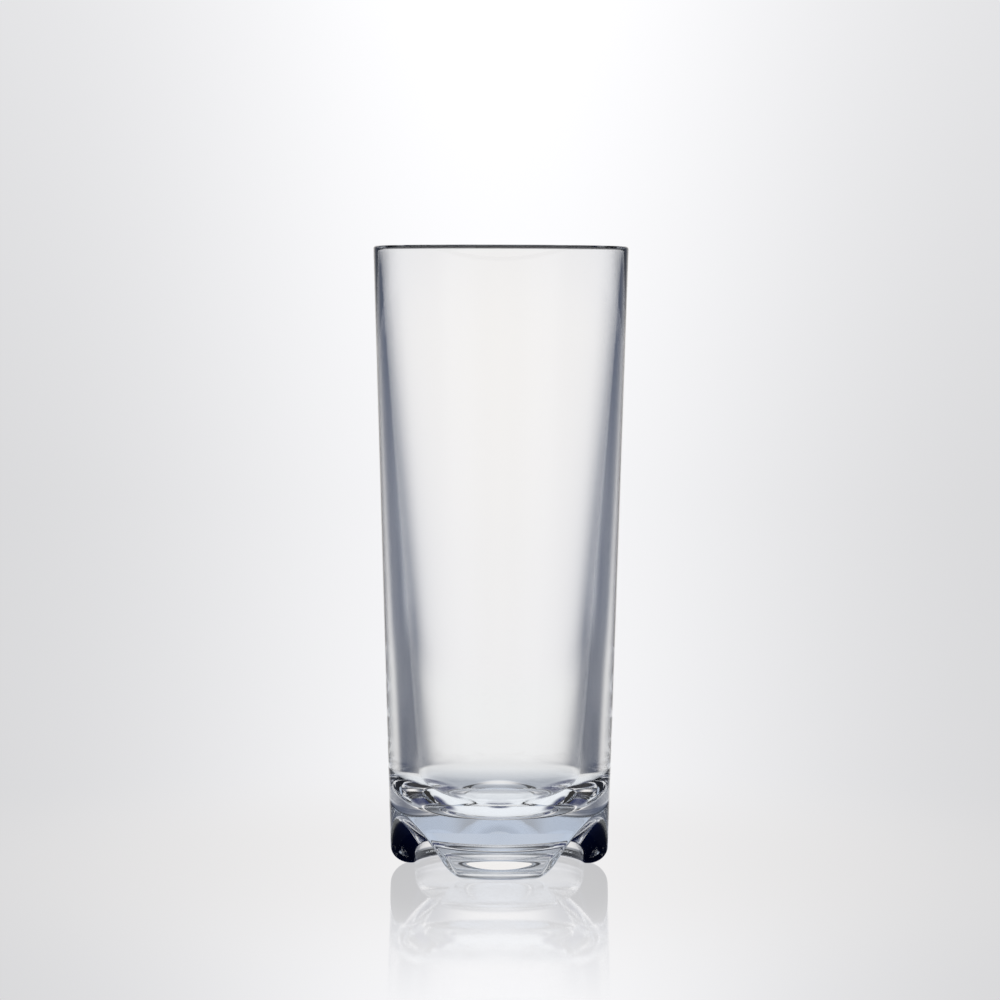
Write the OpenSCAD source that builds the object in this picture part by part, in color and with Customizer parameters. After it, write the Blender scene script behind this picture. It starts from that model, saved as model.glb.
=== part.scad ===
// Tall straight-sided drinking glass with a thick base on three moulded feet.
// The axis stands on Z, the table is the plane Z = 0 and one foot points to -Y.
// The glass is one moulding. Its regions are drawn as separate solids that meet face to face:
// the rim band, the wall, the thick base and the three feet below it.

/* [Glass] */
// Overall height
glass_h = 165; // [140:1:190]
// Outer diameter at the rim
rim_d = 67.6; // [64:0.1:74]
// Outer diameter at the table, where the wall is carried straight down
heel_d = 57.7; // [56:0.1:61]

/* [Rim] */
// Thickness of the wall at the rim, which is rounded over
rim_t = 1.4; // [1:0.1:2.4]
// Height of the rim band
rim_band_h = 8; // [4:0.5:16]

/* [Bowl] */
// Height of the bowl's floor above the table
floor_z = 14.6; // [12.6:0.1:17]
// Thickness of the wall at the bowl's floor, where the bore is carried straight down
floor_t = 8.3; // [7:0.1:10]
// Radius of the curve from the bowl's floor up into the bore
bowl_r = 13; // [9:0.5:18]

/* [Underside] */
// Width of the flat ring that stands on the table
ring_w = 1.6; // [1:0.1:2.6]
// Radius of the outer corner just above the table
heel_r = 4.8; // [3:0.1:5]
// Height of the hollow under the base
punt_h = 8.7; // [7.6:0.1:9.8]
// Lean of the hollow's side away from upright, in degrees
punt_lean = 6; // [0:1:14]
// Radius between the side of the hollow and its ceiling
punt_r = 5.5; // [3:0.25:6.5]

/* [Feet] */
// Height of each arch between two feet, measured on the outer wall
arch_h = 14.2; // [12.5:0.1:15.5]
// Radius of the round scoop that cuts an arch
scoop_r = 20; // [17:0.5:23]
// Slope of the scoop, which rises outwards, in degrees
scoop_slope = 36; // [32:1:40]

/* [Hidden] */
$fn = 128;
// Clear glass with a faint cool cast
glass_tint = [0.88, 0.94, 0.97, 0.45];
// Straight steps that make up the heel's curve and the hollow's
curve_steps = 8;
// One overrun serves every cut
overrun = 1;

// Straight outer wall: its growth per unit of height, and the length of its slant
wall_k = (rim_d - heel_d) / 2 / glass_h;
wall_sec = sqrt(1 + wall_k * wall_k);
wall_angle = atan(wall_k);
function wall_radius(z) = heel_d / 2 + wall_k * z;

// Straight bore, from the bowl's floor to the rim
bore_rim_r = rim_d / 2 - rim_t;
bore_floor_r = wall_radius(floor_z) - floor_t;
bore_k = (bore_rim_r - bore_floor_r) / (glass_h - floor_z);
bore_sec = sqrt(1 + bore_k * bore_k);
bore_angle = atan(bore_k);
function bore_radius(z) = bore_floor_r + bore_k * (z - floor_z);

// The rim's round top touches the wall, the bore and the full height
lip_r = rim_t / (wall_sec + bore_sec + wall_k - bore_k);
lip_z = glass_h - lip_r;
lip_c = wall_radius(lip_z) - lip_r * wall_sec;
rim_z = glass_h - rim_band_h;

// The bowl's curve touches the floor and the bore
bowl_z = floor_z + bowl_r;
bowl_c = bore_radius(bowl_z) - bowl_r * bore_sec;
bowl_touch = [bowl_c + bowl_r * cos(bore_angle), bowl_z - bowl_r * sin(bore_angle)];
base_z = bowl_touch.y;

// The heel's curve touches the wall and the table
heel_c = wall_radius(heel_r) - heel_r * wall_sec;

// The hollow's curve touches its leaning side and its ceiling
punt_z = punt_h - punt_r;
punt_side_k = tan(punt_lean);
function punt_side(z) = heel_c - ring_w - punt_side_k * z;
punt_c = punt_side(punt_z) - punt_r / cos(punt_lean);
punt_touch = [punt_c + punt_r * cos(punt_lean), punt_z + punt_r * sin(punt_lean)];

// The feet join the base where the hollow's leaning side ends and its curve begins
foot_z = punt_touch.y;

// Three feet share the circle evenly, with a scoop midway between each two
foot_count = 3;
foot_step = 360 / foot_count;

// Points along a curve about a centre, from one angle to another
function curve(centre, radius, from, to) = [
    for (i = [0:curve_steps])
        let (turn = from + (to - from) * i / curve_steps)
            [centre.x + radius * cos(turn), centre.y + radius * sin(turn)]
];

// Everything inside the straight outer wall and the heel's curve, from one height to another
module outer_section(z0, z1) {
    heel = curve([heel_c, heel_r], heel_r, -90, -wall_angle);
    intersection() {
        polygon(concat([[0, 0]], heel, [[wall_radius(glass_h), glass_h], [0, glass_h]]));
        translate([0, z0]) square([rim_d, z1 - z0]);
    }
}

// The bowl: flat floor, curve and straight bore, running out past the top
module bowl_section() {
    top_z = glass_h + overrun;
    polygon([[0, floor_z], [bowl_c, floor_z], bowl_touch, [bore_radius(top_z), top_z], [0, top_z]]);
    intersection() {
        translate([bowl_c, bowl_z]) circle(r = bowl_r);
        translate([0, floor_z]) square([rim_d, bowl_r]);
    }
}

// The hollow between the feet, with its leaning side, running out past both ends of the feet
module foot_hollow_section() {
    top_z = foot_z + overrun;
    polygon([[0, -overrun], [punt_side(-overrun), -overrun], [punt_side(top_z), top_z], [0, top_z]]);
}

// The hollow under the base, with its curve and its flat ceiling
module punt_section() {
    shoulder = curve([punt_c, punt_z], punt_r, punt_lean, 90);
    polygon(concat([[0, -overrun], [punt_side(-overrun), -overrun]], shoulder, [[0, punt_h]]));
}

// One round scoop, cutting an arch in the wall at -Y and dying out towards the axis
module scoop() {
    translate([0, -wall_radius(arch_h), arch_h])
        rotate([90 - scoop_slope, 0, 0])
            translate([0, -scoop_r, 0])
                cylinder(r = scoop_r, h = 2 * heel_d, center = true);
}

// The three scoops, midway between the feet
module scoops() {
    for (i = [0:foot_count - 1])
        rotate([0, 0, (i + 1 / 2) * foot_step]) scoop();
}

// The rim band, with its fire-polished round top
module rim() {
    color(glass_tint)
        rotate_extrude() {
            polygon([
                [bore_radius(rim_z), rim_z],
                [wall_radius(rim_z), rim_z],
                [lip_c + lip_r * cos(wall_angle), lip_z - lip_r * sin(wall_angle)],
                [lip_c - lip_r * cos(bore_angle), lip_z + lip_r * sin(bore_angle)]
            ]);
            translate([lip_c, lip_z]) circle(r = lip_r);
        }
}

// The wall, thickening evenly from the rim band down to the base
module wall() {
    color(glass_tint)
        rotate_extrude()
            polygon([
                [bore_radius(base_z), base_z],
                [wall_radius(base_z), base_z],
                [wall_radius(rim_z), rim_z],
                [bore_radius(rim_z), rim_z]
            ]);
}

// The thick base, with the bowl's floor above, the hollow below and the tops of the arches
module base() {
    color(glass_tint)
        difference() {
            rotate_extrude()
                difference() {
                    outer_section(foot_z, base_z);
                    bowl_section();
                    punt_section();
                }
            scoops();
        }
}

// One foot: a third of the standing ring, cut at both ends by a scoop, turned from -Y to its place
module foot(turn) {
    color(glass_tint)
        rotate([0, 0, turn])
            difference() {
                rotate([0, 0, -90 - foot_step / 2])
                    rotate_extrude(angle = foot_step)
                        difference() {
                            outer_section(0, foot_z);
                            foot_hollow_section();
                        }
                for (side = [-1, 1])
                    rotate([0, 0, side * foot_step / 2]) scoop();
            }
}

module foot_front() {
    foot(0);
}

module foot_right() {
    foot(foot_step);
}

module foot_left() {
    foot(2 * foot_step);
}

rim();
wall();
base();
foot_front();
foot_left();
foot_right();
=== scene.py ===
"""Looks for a tall clear drinking glass with a thick base on three moulded feet.

The glass is one clear moulding, so it is drawn as one seamless skin: the wall and the bowl are turned
profiles, and the base with its feet, hollow and scoops is traced from the field of its own solid.
All sizes are in metres and repeat the solids' sizes, in the same frame.
"""
import logging
import math
from dataclasses import dataclass, field
from enum import Enum

import bpy
import numpy as np
from mathutils import Matrix


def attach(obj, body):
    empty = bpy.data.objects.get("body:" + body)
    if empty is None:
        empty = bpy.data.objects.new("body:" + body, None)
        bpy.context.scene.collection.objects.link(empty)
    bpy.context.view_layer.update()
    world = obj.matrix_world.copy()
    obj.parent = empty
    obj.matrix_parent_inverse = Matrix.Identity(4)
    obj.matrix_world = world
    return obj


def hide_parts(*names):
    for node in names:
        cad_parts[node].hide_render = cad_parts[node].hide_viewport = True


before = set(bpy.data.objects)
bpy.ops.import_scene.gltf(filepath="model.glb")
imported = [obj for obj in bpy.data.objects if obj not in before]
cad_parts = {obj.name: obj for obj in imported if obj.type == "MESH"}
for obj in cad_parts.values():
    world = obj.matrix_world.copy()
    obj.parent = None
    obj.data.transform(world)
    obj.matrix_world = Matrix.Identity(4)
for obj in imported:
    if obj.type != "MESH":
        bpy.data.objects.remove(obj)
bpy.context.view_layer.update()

LOG = logging.getLogger("highball")


class Foot(Enum):
    """The three feet, by the direction in which each one points, in degrees from the front."""

    FRONT = 0.0
    RIGHT = 120.0
    LEFT = 240.0


# ---- Small tools for node trees -------------------------------------------------------------------

# A Mix node's sockets for colours come after its sockets for numbers and vectors
MIX_FIRST, MIX_SECOND, MIX_RESULT = 6, 7, 2


class Wiring:
    """Adds nodes to one node tree and joins them up."""

    def __init__(self, tree: bpy.types.NodeTree) -> None:
        """Keeps the tree and empties it."""
        self.tree = tree
        tree.nodes.clear()

    def node(self, kind: str, **settings: object) -> bpy.types.Node:
        """Adds one node.

        Args:
            kind: The node's type name in Blender.
            settings: Properties to set on it.

        Returns:
            The new node.
        """
        made = self.tree.nodes.new(kind)
        for name, value in settings.items():
            setattr(made, name, value)
        return made

    def feed(self, socket: bpy.types.NodeSocket, value: object) -> None:
        """Gives an input a plain value or joins it to an output.

        Args:
            socket: The input.
            value: A number, a tuple or an output socket.
        """
        if isinstance(value, bpy.types.NodeSocket):
            self.tree.links.new(value, socket)
        else:
            socket.default_value = value

    def maths(self, operation: str, first: object, second: object = None) -> bpy.types.NodeSocket:
        """Adds a maths node.

        Args:
            operation: What it works out.
            first: Its first input.
            second: Its second input, if it has one.

        Returns:
            The answer's socket.
        """
        made = self.node("ShaderNodeMath", operation=operation)
        self.feed(made.inputs[0], first)
        if second is not None:
            self.feed(made.inputs[1], second)
        return made.outputs[0]

    def span(self, first: object, second: object) -> bpy.types.NodeSocket:
        """Adds up two steps at a right angle to each other.

        Args:
            first: One step.
            second: The other one.

        Returns:
            The distance's socket.
        """
        squares = self.maths("ADD", self.maths("MULTIPLY", first, first),
                             self.maths("MULTIPLY", second, second))
        return self.maths("SQRT", squares)

    def remainder(self, share: object) -> bpy.types.NodeSocket:
        """Takes a share away from one."""
        return self.maths("SUBTRACT", 1.0, share)

    def fade(self, value: object, start: float, end: float) -> bpy.types.NodeSocket:
        """Adds a smooth step.

        Args:
            value: What the step follows.
            start: Where the step is still zero.
            end: Where it has reached one.

        Returns:
            The step's socket.
        """
        made = self.node("ShaderNodeMapRange", interpolation_type="SMOOTHSTEP")
        self.feed(made.inputs["Value"], value)
        made.inputs["From Min"].default_value = start
        made.inputs["From Max"].default_value = end
        return made.outputs["Result"]

    def lobe(self, distance: object, width: float, power: float = 2.0) -> bpy.types.NodeSocket:
        """Adds a bell that is one at distance zero and falls away with it.

        Args:
            distance: The distance's socket.
            width: The distance at which the bell has fallen to 37%.
            power: 2 for a round bell, more for a flat top with steeper sides.

        Returns:
            The bell's socket.
        """
        along = self.maths("POWER", self.maths("DIVIDE", distance, width), power)
        return self.maths("EXPONENT", self.maths("MULTIPLY", along, -1.0))

    def tinted(self, colour: tuple[float, float, float], amount: object) -> bpy.types.NodeSocket:
        """Scales a colour.

        Args:
            colour: Red, green and blue.
            amount: What scales them.

        Returns:
            The scaled colour's socket.
        """
        made = self.node("ShaderNodeVectorMath", operation="SCALE")
        made.inputs[0].default_value = colour
        self.feed(made.inputs["Scale"], amount)
        return made.outputs[0]

    def total(self, first: object, second: object) -> bpy.types.NodeSocket:
        """Adds two colours.

        Args:
            first: One colour, or its socket.
            second: The other one.

        Returns:
            Their sum's socket.
        """
        made = self.node("ShaderNodeVectorMath", operation="ADD")
        self.feed(made.inputs[0], first)
        self.feed(made.inputs[1], second)
        return made.outputs[0]

    def mixed(self, share: object, first: object, second: object) -> bpy.types.NodeSocket:
        """Mixes two colours.

        Args:
            share: Zero for the first colour and one for the second.
            first: One colour, or its socket.
            second: The other one.

        Returns:
            The mixed colour's socket.
        """
        made = self.node("ShaderNodeMix", data_type="RGBA")
        self.feed(made.inputs["Factor"], share)
        for index, colour in ((MIX_FIRST, first), (MIX_SECOND, second)):
            self.feed(made.inputs[index], (*colour, 1.0) if isinstance(colour, tuple) else colour)
        return made.outputs[MIX_RESULT]

    def layered(self, share: object, under: bpy.types.Node, over: bpy.types.Node) -> bpy.types.Node:
        """Mixes two shaders.

        Args:
            share: Zero for the one under and one for the one over it.
            under: The shader node under.
            over: The shader node over it.

        Returns:
            The mixing node.
        """
        made = self.node("ShaderNodeMixShader")
        self.feed(made.inputs[0], share)
        self.feed(made.inputs[1], under.outputs[0])
        self.feed(made.inputs[2], over.outputs[0])
        return made


# ---- Finishes -------------------------------------------------------------------------------------


@dataclass(frozen=True)
class ClearGlass:
    """Clear soda-lime glass, pressed in a mould below and blown smooth above; its lip is tinted dark as
    painted shade.
    """

    slot: str = "clear_glass"
    tint: tuple[float, float, float] = (0.992, 0.996, 1.0)
    # Painted shade: a nearly black tint over the top of the glass, which draws the dark line along the rim.
    painted_rim_shade_tint: tuple[float, float, float] = (0.08, 0.08, 0.085)
    painted_rim_shade_heights: tuple[float, float] = (0.1638, 0.1642)
    bend: float = 1.5
    wave_size: float = 0.0045
    wave_depth: float = 0.00001
    wave_detail: float = 1.5
    wave_squash: tuple[float, float, float] = (0.35, 0.35, 1.0)
    waves_end: tuple[float, float] = (0.012, 0.03)
    scuff_height: float = 0.0004
    scuff_roughness: float = 0.12
    grain_scale: float = 2600.0
    grain_detail: float = 3.0
    scratches: tuple[float, float] = (0.45, 0.7)

    def waves(self, wire: Wiring, place: object, height: object) -> bpy.types.NodeSocket:
        """Draws the mould's faint waves in the base.

        Args:
            wire: The material's nodes.
            place: Place on the glass.
            height: Height above the table.

        Returns:
            The waves' slopes.
        """
        squash = wire.node("ShaderNodeMapping")
        squash.inputs["Scale"].default_value = self.wave_squash
        wire.feed(squash.inputs["Vector"], place)
        noise = wire.node("ShaderNodeTexNoise")
        noise.inputs["Scale"].default_value = 1.0 / self.wave_size
        noise.inputs["Detail"].default_value = self.wave_detail
        wire.feed(noise.inputs["Vector"], squash.outputs["Vector"])
        low = wire.remainder(wire.fade(height, *self.waves_end))
        bump = wire.node("ShaderNodeBump")
        bump.inputs["Distance"].default_value = self.wave_depth
        bump.inputs["Strength"].default_value = 1.0
        wire.feed(bump.inputs["Height"], wire.maths("MULTIPLY", noise.outputs["Fac"], low))
        return bump.outputs["Normal"]

    def scuff(self, wire: Wiring, place: object, height: object) -> bpy.types.NodeSocket:
        """Draws the scuffed line on which the glass stands.

        Args:
            wire: The material's nodes.
            place: Place on the glass.
            height: Height above the table.

        Returns:
            The roughness there, and zero elsewhere.
        """
        grain = wire.node("ShaderNodeTexNoise")
        grain.inputs["Scale"].default_value = self.grain_scale
        grain.inputs["Detail"].default_value = self.grain_detail
        wire.feed(grain.inputs["Vector"], place)
        touch = wire.remainder(wire.fade(height, 0.0, self.scuff_height))
        scratch = wire.fade(grain.outputs["Fac"], *self.scratches)
        return wire.maths("MULTIPLY", wire.maths("MULTIPLY", touch, scratch), self.scuff_roughness)

    def material(self) -> bpy.types.Material:
        """Makes the material.

        Returns:
            Glass with painted shade at its lip (a dark tint for the rim's dark line), faint mould waves in
            its base and a scuffed line where it stands.
        """
        made = bpy.data.materials.new(self.slot)
        made.use_nodes = True
        wire = Wiring(made.node_tree)
        place = wire.node("ShaderNodeTexCoord").outputs["Object"]
        parts = wire.node("ShaderNodeSeparateXYZ")
        wire.feed(parts.inputs[0], place)
        height = parts.outputs["Z"]

        shader = wire.node("ShaderNodeBsdfPrincipled")
        # Painted shade: above these heights, the top of the glass is tinted nearly black.
        lip = wire.fade(height, *self.painted_rim_shade_heights)
        wire.feed(shader.inputs["Base Color"], wire.mixed(lip, self.tint, self.painted_rim_shade_tint))
        shader.inputs["Metallic"].default_value = 0.0
        shader.inputs["Transmission Weight"].default_value = 1.0
        shader.inputs["IOR"].default_value = self.bend
        wire.feed(shader.inputs["Roughness"], self.scuff(wire, place, height))
        wire.feed(shader.inputs["Normal"], self.waves(wire, place, height))
        output = wire.node("ShaderNodeOutputMaterial")
        wire.feed(output.inputs["Surface"], shader.outputs["BSDF"])
        return made


@dataclass(frozen=True)
class FootShadow:
    """A painted shadow under a foot: a dark spot on the table, by the bearing and distance of its middle
    and by its size.
    """

    bearing: float
    distance: float
    size: float


@dataclass(frozen=True)
class PaleGlossTable:
    """The pale, glossy table.

    The glow that the camera sees is even but for a painted pool of light along the middle and painted
    extra light near the glass. The light that the glass gathers from it has painted soft shadows in it,
    and at a glance the table's polished sides mirror the dim sides of the studio. Bearings are in
    degrees, from 0 behind the glass to 180 in front of it.
    """

    # Painted light: the glow that the camera sees, raised near the glass and by a pool of light along the
    # middle.
    glow: float = 0.676
    glow_lift: float = 0.05
    pool: float = 0.26
    pool_width: float = 0.0895
    pool_growth: float = 0.0937
    glow_colour: tuple[float, float, float] = (0.998, 0.998, 1.016)
    lit_near: tuple[float, float, float] = (0.90, 0.935, 0.975)
    lit_far: tuple[float, float, float] = (0.87, 0.865, 0.86)
    lit_change: tuple[float, float] = (0.045, 0.10)
    shaded: tuple[float, float, float] = (0.14, 0.165, 0.22)
    under: float = 0.95
    under_change: tuple[float, float] = (0.020, 0.045)
    side_start: tuple[float, float] = (6.0, 39.0)
    side_end: tuple[float, float] = (72.0, 88.0)
    side_reach: tuple[float, float] = (0.045, 0.08)
    side_glance: tuple[float, float] = (0.275, 0.325)
    side_blend: float = 0.5
    side_polish: float = 0.97
    rear_start: tuple[float, float] = (0.024, 0.034)
    rear_stop: tuple[float, float] = (0.038, 0.085)
    rear_depth: float = 0.7
    rear_end: tuple[float, float] = (25.0, 60.0)
    # Painted shadows: deep blue spots on the table under the feet, seen only in the light that the glass
    # gathers.
    foot_shadow_colour: tuple[float, float, float] = (0.004, 0.014, 0.09)
    foot_shadow_hardness: float = 6.0
    foot_shadows: tuple[FootShadow, ...] = (
        FootShadow(bearing=0.0, distance=0.0238, size=0.006),
        FootShadow(bearing=92.0, distance=0.0265, size=0.0095),
        FootShadow(bearing=123.0, distance=0.035, size=0.0135),
    )
    bend: float = 1.5
    roughness: float = 0.04
    mirror_change: tuple[float, float] = (0.05, 0.215)
    shown_edge: tuple[float, float] = (0.225, 0.36)
    gathered_edge: tuple[float, float] = (0.25, 0.365)

    def painted_foot_shadows(self, wire: Wiring, aside: object, back: object) -> bpy.types.NodeSocket:
        """Draws the painted shadows under the feet, as dark spots on the table.

        Args:
            wire: The material's nodes.
            aside: Distance to the side.
            back: Distance to the back.

        Returns:
            Zero on a painted shadow and one away from all of them.
        """
        light: object = 1.0
        for foot_shadow in self.foot_shadows:
            turn = math.radians(foot_shadow.bearing)
            across = wire.maths("SUBTRACT", aside, foot_shadow.distance * math.sin(turn))
            along = wire.maths("ADD", back, foot_shadow.distance * math.cos(turn))
            dark = wire.lobe(wire.span(across, along), foot_shadow.size, self.foot_shadow_hardness)
            light = wire.maths("MULTIPLY", wire.remainder(dark), light)
        return light

    def polish(self, wire: Wiring, reach: object, bearing: object) -> bpy.types.NodeSocket:
        """Draws how much the table's polished sides mirror the studio at a glance.

        Args:
            wire: The material's nodes.
            reach: Distance from the glass's axis.
            bearing: Bearing from it.

        Returns:
            Nearly one where they mirror it, and zero elsewhere and from steeper above.
        """
        side = wire.maths("MULTIPLY", wire.fade(bearing, *self.side_start),
                          wire.remainder(wire.fade(bearing, *self.side_end)))
        side = wire.maths("MULTIPLY", side, wire.fade(reach, *self.side_reach))
        facing = wire.node("ShaderNodeLayerWeight")
        facing.inputs["Blend"].default_value = self.side_blend
        steep = wire.fade(wire.remainder(facing.outputs["Facing"]), *self.side_glance)
        side = wire.maths("MULTIPLY", side, wire.remainder(steep))
        return wire.maths("MULTIPLY", side, self.side_polish)

    def shadows(self, wire: Wiring, reach: object, bearing: object) -> bpy.types.NodeSocket:
        """Draws the soft shadows under the glass and behind it.

        Args:
            wire: The material's nodes.
            reach: Distance from the glass's axis.
            bearing: Bearing from it.

        Returns:
            One where the table is lit and zero where it is shaded.
        """
        near = wire.fade(reach, *self.under_change)
        light = wire.maths("ADD", wire.maths("MULTIPLY", near, 1.0 - self.under), self.under)
        ring = wire.maths("SUBTRACT", wire.fade(reach, *self.rear_start), wire.fade(reach, *self.rear_stop))
        rear = wire.maths("MULTIPLY", ring, wire.remainder(wire.fade(bearing, *self.rear_end)))
        rear = wire.maths("MULTIPLY", rear, self.rear_depth)
        return wire.maths("MULTIPLY", light, wire.remainder(rear))

    def shown(self, wire: Wiring, aside: object, back: object, close: object) -> bpy.types.Node:
        """Makes the glow that the camera sees, with a painted pool of light along the middle and painted
        extra light near the glass.

        Args:
            wire: The material's nodes.
            aside: Distance to the side.
            back: Distance to the back.
            close: One near the glass and zero far from it.

        Returns:
            The glowing shader.
        """
        # Painted light: a pool of light along the middle, widening towards the back, and a lift near the
        # glass.
        width = wire.maths("ADD", wire.maths("MULTIPLY", back, self.pool_growth), self.pool_width)
        pool = wire.lobe(wire.maths("DIVIDE", aside, width), 1.0)
        glow = wire.maths("ADD", wire.maths("MULTIPLY", close, self.glow_lift), self.glow)
        strength = wire.maths("ADD", wire.maths("MULTIPLY", pool, self.pool), glow)
        made = wire.node("ShaderNodeEmission")
        wire.feed(made.inputs["Color"], wire.tinted(self.glow_colour, strength))
        return made

    def material(self) -> bpy.types.Material:
        """Makes the material.

        Returns:
            A glowing surface under a glossy coat, see-through towards its edge.
        """
        made = bpy.data.materials.new("pale_gloss_table")
        made.use_nodes = True
        wire = Wiring(made.node_tree)
        place = wire.node("ShaderNodeTexCoord").outputs["Object"]
        parts = wire.node("ShaderNodeSeparateXYZ")
        wire.feed(parts.inputs[0], place)
        aside, back = wire.maths("ABSOLUTE", parts.outputs["X"]), parts.outputs["Y"]
        bearing = wire.maths("DEGREES", wire.maths("ARCTAN2", aside, back))
        distance = wire.node("ShaderNodeVectorMath", operation="LENGTH")
        wire.feed(distance.inputs[0], place)
        reach = distance.outputs["Value"]
        close = wire.remainder(wire.fade(reach, *self.mirror_change))
        for_camera = wire.node("ShaderNodeLightPath").outputs["Is Camera Ray"]

        lit = wire.mixed(wire.fade(reach, *self.lit_change), self.lit_near, self.lit_far)
        patch = wire.mixed(self.shadows(wire, reach, bearing), self.shaded, lit)
        glowing = wire.node("ShaderNodeEmission")
        # Painted shadows: the spots under the feet darken the gathered glow.
        wire.feed(glowing.inputs["Color"],
                  wire.mixed(self.painted_foot_shadows(wire, aside, back), self.foot_shadow_colour, patch))
        gloss = wire.node("ShaderNodeBsdfGlossy")
        gloss.inputs["Roughness"].default_value = self.roughness
        gathered = wire.layered(self.polish(wire, reach, bearing), glowing, gloss)
        surface = wire.layered(for_camera, gathered, self.shown(wire, aside, back, close))

        sheen = wire.node("ShaderNodeFresnel")
        sheen.inputs["IOR"].default_value = self.bend
        coat = wire.layered(wire.maths("MULTIPLY", sheen.outputs[0], close), surface, gloss)

        shown_edge = wire.maths("MULTIPLY", wire.fade(reach, *self.shown_edge), for_camera)
        edge = wire.maths("MAXIMUM", shown_edge, wire.fade(reach, *self.gathered_edge))
        ended = wire.layered(edge, coat, wire.node("ShaderNodeBsdfTransparent"))
        output = wire.node("ShaderNodeOutputMaterial")
        wire.feed(output.inputs["Surface"], ended.outputs[0])
        return made


# ---- The glass ------------------------------------------------------------------------------------


@dataclass(frozen=True)
class Wall:
    """The straight outer wall and its rounded rim."""

    height: float = 0.165
    rim_radius: float = 0.0338
    table_radius: float = 0.02885
    rim_thickness: float = 0.0014
    rim_steps: int = 10
    wall_steps: int = 7

    @property
    def growth(self) -> float:
        """Growth of the outer radius per unit of height."""
        return (self.rim_radius - self.table_radius) / self.height

    def radius(self, z: float) -> float:
        """Gives the outer radius at a height above the table."""
        return self.table_radius + self.growth * z

    def profile(self, bore_growth: float, base_top: float) -> list[tuple[float, float]]:
        """Draws the rim's round top and the wall down to the base.

        Args:
            bore_growth: Growth of the bore's radius per unit of height.
            base_top: Height at which the traced base takes over.

        Returns:
            Radius and height of each point, from the bore over the rim and down outside.
        """
        slant = math.hypot(1.0, self.growth)
        bore_slant = math.hypot(1.0, bore_growth)
        lip = self.rim_thickness / (slant + bore_slant + self.growth - bore_growth)
        centre_z = self.height - lip
        centre_r = self.radius(centre_z) - lip * slant
        turns = np.linspace(math.pi - math.atan(bore_growth), -math.atan(self.growth), self.rim_steps)
        over = [(centre_r + lip * math.cos(t), centre_z + lip * math.sin(t)) for t in turns]
        down = [(self.radius(z), z) for z in np.linspace(over[-1][1], base_top, self.wall_steps)[1:]]
        return over + down


@dataclass(frozen=True)
class Bowl:
    """The bowl inside: flat floor, round corner and straight bore."""

    floor_z: float = 0.0146
    floor_thickness: float = 0.0083
    corner: float = 0.013
    floor_steps: int = 4
    corner_steps: int = 26
    bore_steps: int = 6

    def growth(self, wall: Wall) -> float:
        """Gives the bore's growth per unit of height.

        Args:
            wall: The wall outside it.

        Returns:
            The growth.
        """
        top = wall.rim_radius - wall.rim_thickness
        bottom = wall.radius(self.floor_z) - self.floor_thickness
        return (top - bottom) / (wall.height - self.floor_z)

    def profile(self, wall: Wall) -> list[tuple[float, float]]:
        """Draws the bowl from its middle out and up to just below the rim's round top.

        Args:
            wall: The wall outside it.

        Returns:
            Radius and height of each point, without the middle itself.
        """
        growth = self.growth(wall)
        bottom = wall.radius(self.floor_z) - self.floor_thickness
        centre_z = self.floor_z + self.corner
        centre_r = bottom + growth * self.corner - self.corner * math.hypot(1.0, growth)
        flat = [(r, self.floor_z) for r in np.linspace(0.0, centre_r, self.floor_steps + 1)[1:-1]]
        turns = np.linspace(-math.pi / 2, -math.atan(growth), self.corner_steps)
        round_up = [(centre_r + self.corner * math.cos(t), centre_z + self.corner * math.sin(t))
                    for t in turns]
        start = round_up[-1][1]
        levels = np.linspace(start, wall.height - wall.rim_thickness, self.bore_steps)[1:]
        bore = [(bottom + growth * (z - self.floor_z), z) for z in levels]
        return flat + round_up + bore


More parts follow.
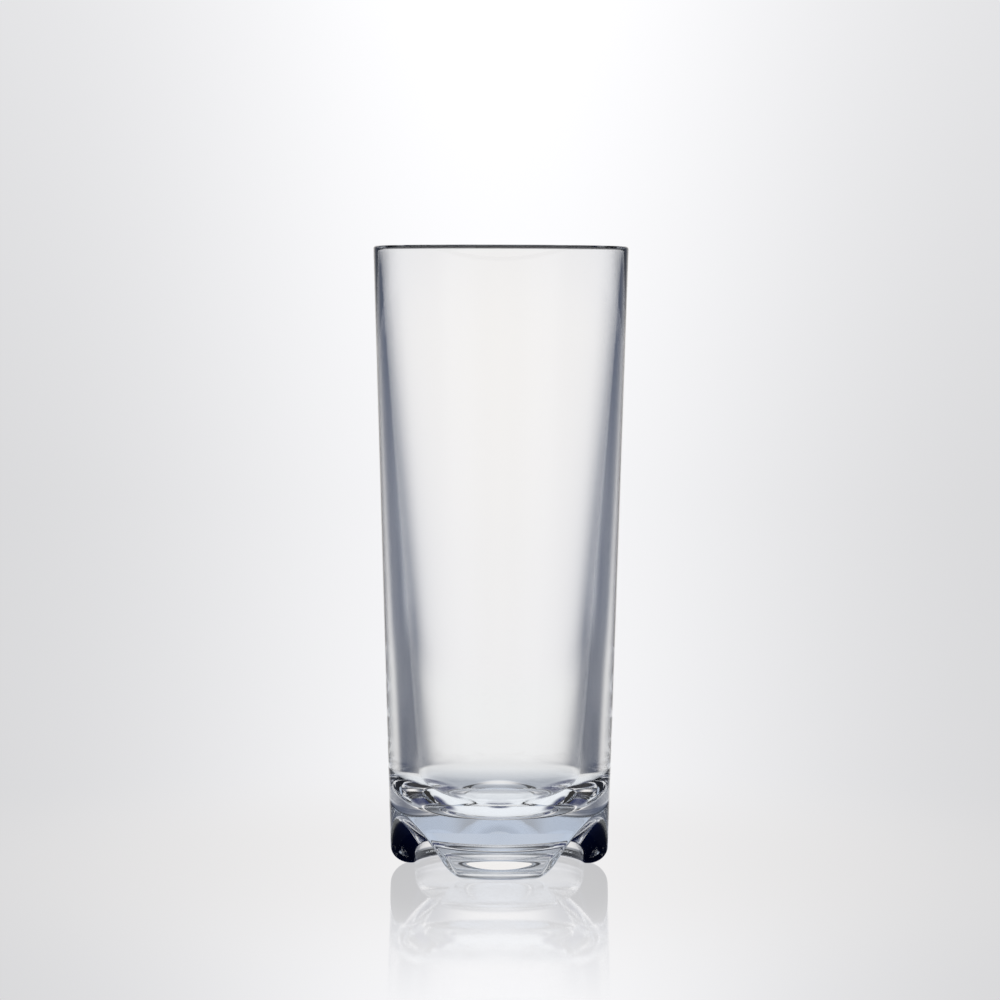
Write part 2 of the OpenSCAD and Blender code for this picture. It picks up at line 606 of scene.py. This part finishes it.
@dataclass(frozen=True)
class FootedBase:
    """The base below the bowl: rounded heel, hollow underside and three scoops between the feet."""

    top: float = 0.017
    heel_radius: float = 0.0048
    ring_width: float = 0.0016
    hollow_height: float = 0.0087
    hollow_lean: float = math.radians(6.0)
    hollow_corner: float = 0.0055
    arch_height: float = 0.0142
    scoop_radius: float = 0.020
    scoop_slope: float = math.radians(36.0)
    scoop_edge: float = 0.001
    ring_edge: float = 0.001
    trace_step: float = 0.00012
    trace_limit: int = 2000
    trace_stop: float = 1.5
    settle_while_tracing: int = 3
    settle_after: int = 2
    probe: float = 1e-7
    tiny: float = 1e-12
    rings: int = 156

    @staticmethod
    def rounded(first: np.ndarray, second: np.ndarray, corner: float) -> np.ndarray:
        """Gives the field of what is inside both fields, their outer corner rounded to a radius."""
        u, v = first + corner, second + corner
        return np.minimum(np.maximum(u, v), 0.0) + np.hypot(np.maximum(u, 0.0), np.maximum(v, 0.0)) - corner

    @staticmethod
    def eased(first: np.ndarray, second: np.ndarray, width: float) -> np.ndarray:
        """Gives the field of what is inside both fields, the edge between them eased over a width."""
        near = np.maximum(width - np.abs(first - second), 0.0) / width
        return np.maximum(first, second) + near * near * width / 4.0

    def skin_field(self, wall: Wall, x: np.ndarray, y: np.ndarray, z: np.ndarray) -> np.ndarray:
        """Gives the solid's field, which is zero on its outer skin and below zero in the glass.

        Args:
            wall: The wall that the heel rounds off.
            x: Points to the right.
            y: Points to the back.
            z: Points' heights.

        Returns:
            The field at each point.
        """
        r = np.hypot(x, y)
        outside = (r - wall.radius(z)) / math.hypot(1.0, wall.growth)
        solid = self.rounded(outside, -z, self.heel_radius)

        heel_c = wall.radius(self.heel_radius) - self.heel_radius * math.hypot(1.0, wall.growth)
        ring_in = heel_c - self.ring_width
        side = (r - (ring_in - math.tan(self.hollow_lean) * z)) * math.cos(self.hollow_lean)
        hollow = self.rounded(side, z - self.hollow_height, self.hollow_corner)
        solid = self.eased(solid, -hollow, self.ring_edge)

        step = math.radians(Foot.RIGHT.value - Foot.FRONT.value)
        crown_r = wall.radius(self.arch_height)
        rise, run = math.sin(self.scoop_slope), math.cos(self.scoop_slope)
        for foot in Foot:
            between = math.radians(foot.value) + step / 2.0
            across = x * math.cos(between) + y * math.sin(between)
            outward = x * math.sin(between) - y * math.cos(between)
            above = (z - self.arch_height) * run - (outward - crown_r) * rise
            scoop = self.scoop_radius - np.hypot(across, above + self.scoop_radius)
            solid = self.eased(solid, scoop, self.scoop_edge)
        return solid

    def slope(self, wall: Wall, right: np.ndarray, back: np.ndarray, r: np.ndarray,
              z: np.ndarray) -> tuple[np.ndarray, np.ndarray, np.ndarray]:
        """Gives the field at points and its slopes there.

        Args:
            wall: The wall above the base.
            right: Share of X in each point's direction.
            back: Share of Y in each point's direction.
            r: Points' radii.
            z: Points' heights.

        Returns:
            The field, its slope along r and its slope along z.
        """
        step = self.probe
        here = self.skin_field(wall, r * right, r * back, z)
        by_r = (self.skin_field(wall, (r + step) * right, (r + step) * back, z)
                - self.skin_field(wall, (r - step) * right, (r - step) * back, z)) / (2.0 * step)
        by_z = (self.skin_field(wall, r * right, r * back, z + step)
                - self.skin_field(wall, r * right, r * back, z - step)) / (2.0 * step)
        return here, by_r, by_z

    def settle(self, wall: Wall, right: np.ndarray, back: np.ndarray, r: np.ndarray, z: np.ndarray,
               times: int) -> tuple[np.ndarray, np.ndarray]:
        """Moves points onto the skin.

        Args:
            wall: The wall above the base.
            right: Share of X in each point's direction.
            back: Share of Y in each point's direction.
            r: Points' radii.
            z: Points' heights.
            times: How often they are pulled closer.

        Returns:
            The points' new radii and heights.
        """
        for _ in range(times):
            here, by_r, by_z = self.slope(wall, right, back, r, z)
            pull = here / (by_r * by_r + by_z * by_z + self.tiny)
            r, z = r - pull * by_r, z - pull * by_z
        return r, z

    def trace(self, wall: Wall, right: np.ndarray, back: np.ndarray) -> tuple[np.ndarray, np.ndarray]:
        """Follows the skin down the wall, under the foot and in to the middle, for every direction.

        Args:
            wall: The wall above the base.
            right: Share of X in each direction.
            back: Share of Y in each direction.

        Returns:
            Radius and height of each ring's points, one row for each direction.
        """
        r = np.full(right.shape, wall.radius(self.top))
        z = np.full(right.shape, self.top)
        path_r, path_z = [r], [z]
        going = np.ones(right.shape, bool)
        while going.any() and len(path_r) < self.trace_limit:
            _, by_r, by_z = self.slope(wall, right, back, r, z)
            size = np.hypot(by_r, by_z) + self.tiny
            ahead = self.settle(wall, right, back, r + self.trace_step * by_z / size,
                                z - self.trace_step * by_r / size, self.settle_while_tracing)
            r, z = np.where(going, ahead[0], r), np.where(going, ahead[1], z)
            path_r.append(r)
            path_z.append(z)
            going = going & (r > self.trace_stop * self.trace_step)
        along_r, along_z = np.array(path_r).T, np.array(path_z).T

        out_r = np.zeros((len(right), self.rings))
        out_z = np.zeros((len(right), self.rings))
        for i in range(len(right)):
            steps = np.hypot(np.diff(along_r[i]), np.diff(along_z[i]))
            length = np.concatenate([[0.0], np.cumsum(steps)])
            marks = np.linspace(0.0, length[-1], self.rings + 1)[1:]
            out_r[i] = np.interp(marks, length, along_r[i])
            out_z[i] = np.interp(marks, length, along_z[i])
        for j in range(self.rings):
            out_r[:, j], out_z[:, j] = self.settle(wall, right, back, out_r[:, j], out_z[:, j],
                                                   self.settle_after)
        return out_r, out_z


@dataclass
class HighballGlass:
    """The whole glass, drawn as one seamless skin from its bowl over the rim to its underside."""

    wall: Wall = field(default_factory=Wall)
    bowl: Bowl = field(default_factory=Bowl)
    base: FootedBase = field(default_factory=FootedBase)
    finish: ClearGlass = field(default_factory=ClearGlass)
    segments: int = 480
    nodes: tuple[str, ...] = ("rim", "wall", "base", "foot_front", "foot_left", "foot_right")

    def rings(self) -> tuple[np.ndarray, float, float]:
        """Draws all rings of the skin.

        Returns:
            The points of every ring as ring, direction and coordinate, and the heights of the bowl's
            middle and of the hollow's middle.
        """
        turn = np.linspace(0.0, 2.0 * math.pi, self.segments, endpoint=False)
        right, back = np.sin(turn), -np.cos(turn)
        bore_growth = self.bowl.growth(self.wall)
        turned = np.array(self.bowl.profile(self.wall) + self.wall.profile(bore_growth, self.base.top))
        made = [np.stack([r * right, r * back, np.full(self.segments, z)], axis=1) for r, z in turned]
        low_r, low_z = self.base.trace(self.wall, right, back)
        for j in range(self.base.rings):
            made.append(np.stack([low_r[:, j] * right, low_r[:, j] * back, low_z[:, j]], axis=1))
        return np.array(made), self.bowl.floor_z, float(low_z[:, -1].mean())

    def build(self) -> bpy.types.Object:
        """Builds the skin's mesh.

        Returns:
            The glass as one closed object.
        """
        rings, bowl_middle, hollow_middle = self.rings()
        count, n = rings.shape[0], self.segments
        points = [(0.0, 0.0, bowl_middle)]
        points += [tuple(p) for ring in rings for p in ring]
        points.append((0.0, 0.0, hollow_middle))
        last = len(points) - 1
        faces: list[tuple[int, ...]] = []
        for i in range(n):
            k = (i + 1) % n
            faces.append((0, 1 + i, 1 + k))
            faces.extend((1 + j * n + i, 1 + (j + 1) * n + i, 1 + (j + 1) * n + k, 1 + j * n + k)
                         for j in range(count - 1))
            faces.append((1 + (count - 1) * n + i, last, 1 + (count - 1) * n + k))
        mesh = bpy.data.meshes.new("glass")
        mesh.from_pydata(points, [], faces)
        mesh.validate()
        mesh.shade_smooth()
        mesh.update()
        made = bpy.data.objects.new("glass", mesh)
        bpy.context.scene.collection.objects.link(made)
        return made

    def dress(self, piece: bpy.types.Object) -> None:
        """Gives the skin its finish and its place in the frame.

        Args:
            piece: The glass.
        """
        piece.data.materials.append(self.finish.material())
        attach(piece, "root")
        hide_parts(*self.nodes)

    def make(self) -> bpy.types.Object:
        """Builds and dresses the glass.

        Returns:
            The finished glass.
        """
        piece = self.build()
        self.dress(piece)
        LOG.info("glass: %d points, %d faces", len(piece.data.vertices), len(piece.data.polygons))
        return piece


# ---- The studio -----------------------------------------------------------------------------------


@dataclass
class Table:
    """The round table top that the glass stands on."""

    reach: float = 0.37
    rings: int = 6
    segments: int = 96
    finish: PaleGlossTable = field(default_factory=PaleGlossTable)

    def make(self) -> bpy.types.Object:
        """Builds the table top.

        Returns:
            The table.
        """
        turn = np.linspace(0.0, 2.0 * math.pi, self.segments, endpoint=False)
        points = [(0.0, 0.0, 0.0)]
        for r in np.linspace(0.0, self.reach, self.rings + 1)[1:]:
            points += [(r * math.cos(t), r * math.sin(t), 0.0) for t in turn]
        n = self.segments
        faces: list[tuple[int, ...]] = [(0, 1 + i, 1 + (i + 1) % n) for i in range(n)]
        for j in range(self.rings - 1):
            a, b = 1 + j * n, 1 + (j + 1) * n
            faces += [(a + i, b + i, b + (i + 1) % n, a + (i + 1) % n) for i in range(n)]
        mesh = bpy.data.meshes.new("table_top")
        mesh.from_pydata(points, [], faces)
        mesh.update()
        made = bpy.data.objects.new("table_top", mesh)
        bpy.context.scene.collection.objects.link(made)
        made.data.materials.append(self.finish.material())
        LOG.info("table: %d faces", len(faces))
        return made


@dataclass(frozen=True)
class Panel:
    """A soft light panel, the same on both sides of the glass. Angles are in degrees.

    Bearings run from 0, straight behind the glass, to 180, straight in front of it.
    """

    colour: tuple[float, float, float]
    bearing: float = 0.0
    width: float = 20.0
    roundness: float = 2.0
    bottom: tuple[float, float] = (-90.0, -89.0)
    top: tuple[float, float] = (90.0, 91.0)


@dataclass
class Studio:
    """The soft light round the glass, and the pale backdrop that the camera sees instead of it.

    The light is bright below, behind and in front, dim to the sides, and soft overhead. The dim sides
    draw the dark edges of the glass. The backdrop has soft bright pools all round, one behind the glass.
    """

    panels: tuple[Panel, ...] = (
        Panel(colour=(0.86, 0.86, 0.86), width=400.0, top=(-16.5, -13.0)),
        Panel(colour=(0.767, 0.735, 0.685), width=19.0, roundness=3.5, bottom=(-16.5, -13.0),
              top=(12.0, 20.0)),
        Panel(colour=(0.048, 0.039, 0.02), width=20.0, bottom=(-9.5, -3.5), top=(12.0, 20.0)),
        Panel(colour=(0.60, 0.60, 0.60), bearing=92.0, width=38.0, roundness=6.0, bottom=(-16.5, -13.0),
              top=(0.0, 10.0)),
        Panel(colour=(0.80, 0.80, 0.79), bearing=180.0, width=56.0, roundness=8.0, bottom=(-16.5, -13.0),
              top=(12.0, 20.0)),
        Panel(colour=(0.45, 0.46, 0.48), width=9.0, bottom=(12.0, 20.0), top=(44.0, 52.0)),
        Panel(colour=(0.45, 0.48, 0.53), width=70.0, roundness=4.0, bottom=(38.0, 52.0)),
        Panel(colour=(0.42, 0.48, 0.58), bearing=130.0, width=70.0, roundness=6.0, bottom=(56.0, 66.0)),
    )
    fill: tuple[float, float, float] = (0.11, 0.127, 0.172)
    fill_bottom: tuple[float, float] = (-16.5, -13.0)
    fill_top: tuple[float, float] = (14.0, 24.0)
    fill_end: tuple[float, float] = (130.0, 172.0)
    top_colour: tuple[float, float, float] = (0.12, 0.14, 0.17)
    top_reach: tuple[float, float] = (70.0, 78.0)
    ambient: tuple[float, float, float] = (0.002, 0.003, 0.008)
    backdrop_low: float = 0.676
    backdrop_lift: float = 0.0135
    backdrop_lift_from: float = -3.3
    backdrop_pool: float = 0.26
    backdrop_pool_width: float = 5.35
    backdrop_half_turn: float = 22.5
    backdrop_colour: tuple[float, float, float] = (0.998, 0.998, 1.016)

    def shine(self, wire: Wiring, panel: Panel, bearing: object, rise: object) -> bpy.types.NodeSocket:
        """Adds one panel's light.

        Args:
            wire: The world's nodes.
            panel: The panel.
            bearing: Bearing of the ray.
            rise: Its angle above level.

        Returns:
            The light's colour.
        """
        off = wire.maths("ABSOLUTE", wire.maths("SUBTRACT", bearing, panel.bearing))
        shape = wire.lobe(off, panel.width, panel.roundness)
        shape = wire.maths("MULTIPLY", shape, wire.fade(rise, *panel.bottom))
        under = wire.remainder(wire.fade(rise, *panel.top))
        return wire.tinted(panel.colour, wire.maths("MULTIPLY", shape, under))

    def gathered(self, wire: Wiring, bearing: object, rise: object) -> bpy.types.Node:
        """Makes the light that the glass and the table gather.

        Args:
            wire: The world's nodes.
            bearing: Bearing of the ray.
            rise: Its angle above level.

        Returns:
            The glowing shader.
        """
        light: object = self.ambient
        for panel in self.panels:
            light = wire.total(light, self.shine(wire, panel, bearing, rise))
        veil = wire.maths("MULTIPLY", wire.fade(rise, *self.fill_bottom),
                          wire.remainder(wire.fade(bearing, *self.fill_end)))
        veil = wire.maths("MULTIPLY", veil, wire.remainder(wire.fade(rise, *self.fill_top)))
        light = wire.total(light, wire.tinted(self.fill, veil))
        light = wire.total(light, wire.tinted(self.top_colour, wire.fade(rise, *self.top_reach)))
        made = wire.node("ShaderNodeBackground")
        wire.feed(made.inputs["Color"], light)
        return made

    def backdrop(self, wire: Wiring, bearing: object, rise: object) -> bpy.types.Node:
        """Makes the pale backdrop that the camera sees.

        Args:
            wire: The world's nodes.
            bearing: Bearing of the ray.
            rise: Its angle above level.

        Returns:
            The glowing shader.
        """
        pool = wire.lobe(wire.maths("PINGPONG", bearing, self.backdrop_half_turn),
                         self.backdrop_pool_width)
        shade = wire.maths("ADD", wire.maths("MULTIPLY", pool, self.backdrop_pool), self.backdrop_low)
        lift = wire.maths("MULTIPLY", wire.maths("SUBTRACT", rise, self.backdrop_lift_from),
                          self.backdrop_lift)
        shade = wire.maths("MULTIPLY", shade, wire.maths("ADD", wire.maths("MAXIMUM", lift, 0.0), 1.0))
        made = wire.node("ShaderNodeBackground")
        wire.feed(made.inputs["Color"], wire.tinted(self.backdrop_colour, shade))
        return made

    def make(self) -> bpy.types.World:
        """Builds the world.

        Returns:
            The world, set as the scene's.
        """
        made = bpy.data.worlds.new("studio")
        bpy.context.scene.world = made
        made.use_nodes = True
        wire = Wiring(made.node_tree)
        aim = wire.node("ShaderNodeVectorMath", operation="NORMALIZE")
        wire.feed(aim.inputs[0], wire.node("ShaderNodeTexCoord").outputs["Generated"])
        parts = wire.node("ShaderNodeSeparateXYZ")
        wire.feed(parts.inputs[0], aim.outputs[0])
        aside = wire.maths("ABSOLUTE", parts.outputs["X"])
        bearing = wire.maths("DEGREES", wire.maths("ARCTAN2", aside, parts.outputs["Y"]))
        rise = wire.maths("DEGREES", wire.maths("ARCSINE", parts.outputs["Z"]))
        for_camera = wire.node("ShaderNodeLightPath").outputs["Is Camera Ray"]
        chosen = wire.layered(for_camera, self.gathered(wire, bearing, rise),
                              self.backdrop(wire, bearing, rise))
        output = wire.node("ShaderNodeOutputWorld")
        wire.feed(output.inputs["Surface"], chosen.outputs[0])
        LOG.info("studio: %d nodes", len(made.node_tree.nodes))
        return made


@dataclass(frozen=True)
class PhotoCamera:
    """The camera, solved from the ellipses and the outline of the photographed glass."""

    image_width: float = 1000.0
    focal_pixels: float = 3603.0
    centre_x: float = 500.3
    distance: float = 0.956
    height: float = 0.153
    pitch: float = 3.31
    roll: float = 0.17
    sensor: float = 36.0
    near_clip: float = 0.01

    def make(self) -> bpy.types.Object:
        """Places the camera.

        Returns:
            The camera, set as the scene's.
        """
        data = bpy.data.cameras.new("photo_camera")
        data.sensor_width = self.sensor
        data.lens = self.sensor * self.focal_pixels / self.image_width
        data.shift_x = (self.image_width / 2.0 - self.centre_x) / self.image_width
        data.clip_start = self.near_clip
        made = bpy.data.objects.new("photo_camera", data)
        bpy.context.scene.collection.objects.link(made)
        aim = Matrix.Rotation(math.pi / 2.0 - math.radians(self.pitch), 4, "X")
        made.matrix_world = (Matrix.Translation((0.0, -self.distance, self.height))
                             @ aim @ Matrix.Rotation(math.radians(self.roll), 4, "Z"))
        bpy.context.scene.camera = made
        LOG.info("camera: %.1f mm lens", data.lens)
        return made


@dataclass(frozen=True)
class LightPaths:
    """How often light is followed through the layers of the base and off its faces."""

    through: int = 32
    mirrored: int = 16
    see_through: int = 16
    view: str = "Standard"

    def apply(self, scene: bpy.types.Scene) -> None:
        """Sets the scene's bounces, and shows its colours as they are.

        Args:
            scene: The scene to set.
        """
        scene.cycles.max_bounces = self.through
        scene.cycles.transmission_bounces = self.through
        scene.cycles.glossy_bounces = self.mirrored
        scene.cycles.transparent_max_bounces = self.see_through
        scene.view_settings.view_transform = self.view
        LOG.info("light paths: %d bounces", self.through)


def main() -> None:
    """Builds the camera, the studio and the glass."""
    logging.basicConfig(level=logging.INFO, format="%(name)s: %(message)s")
    LightPaths().apply(bpy.context.scene)
    PhotoCamera().make()
    Studio().make()
    Table().make()
    HighballGlass().make()


if __name__ == "__main__":
    main()
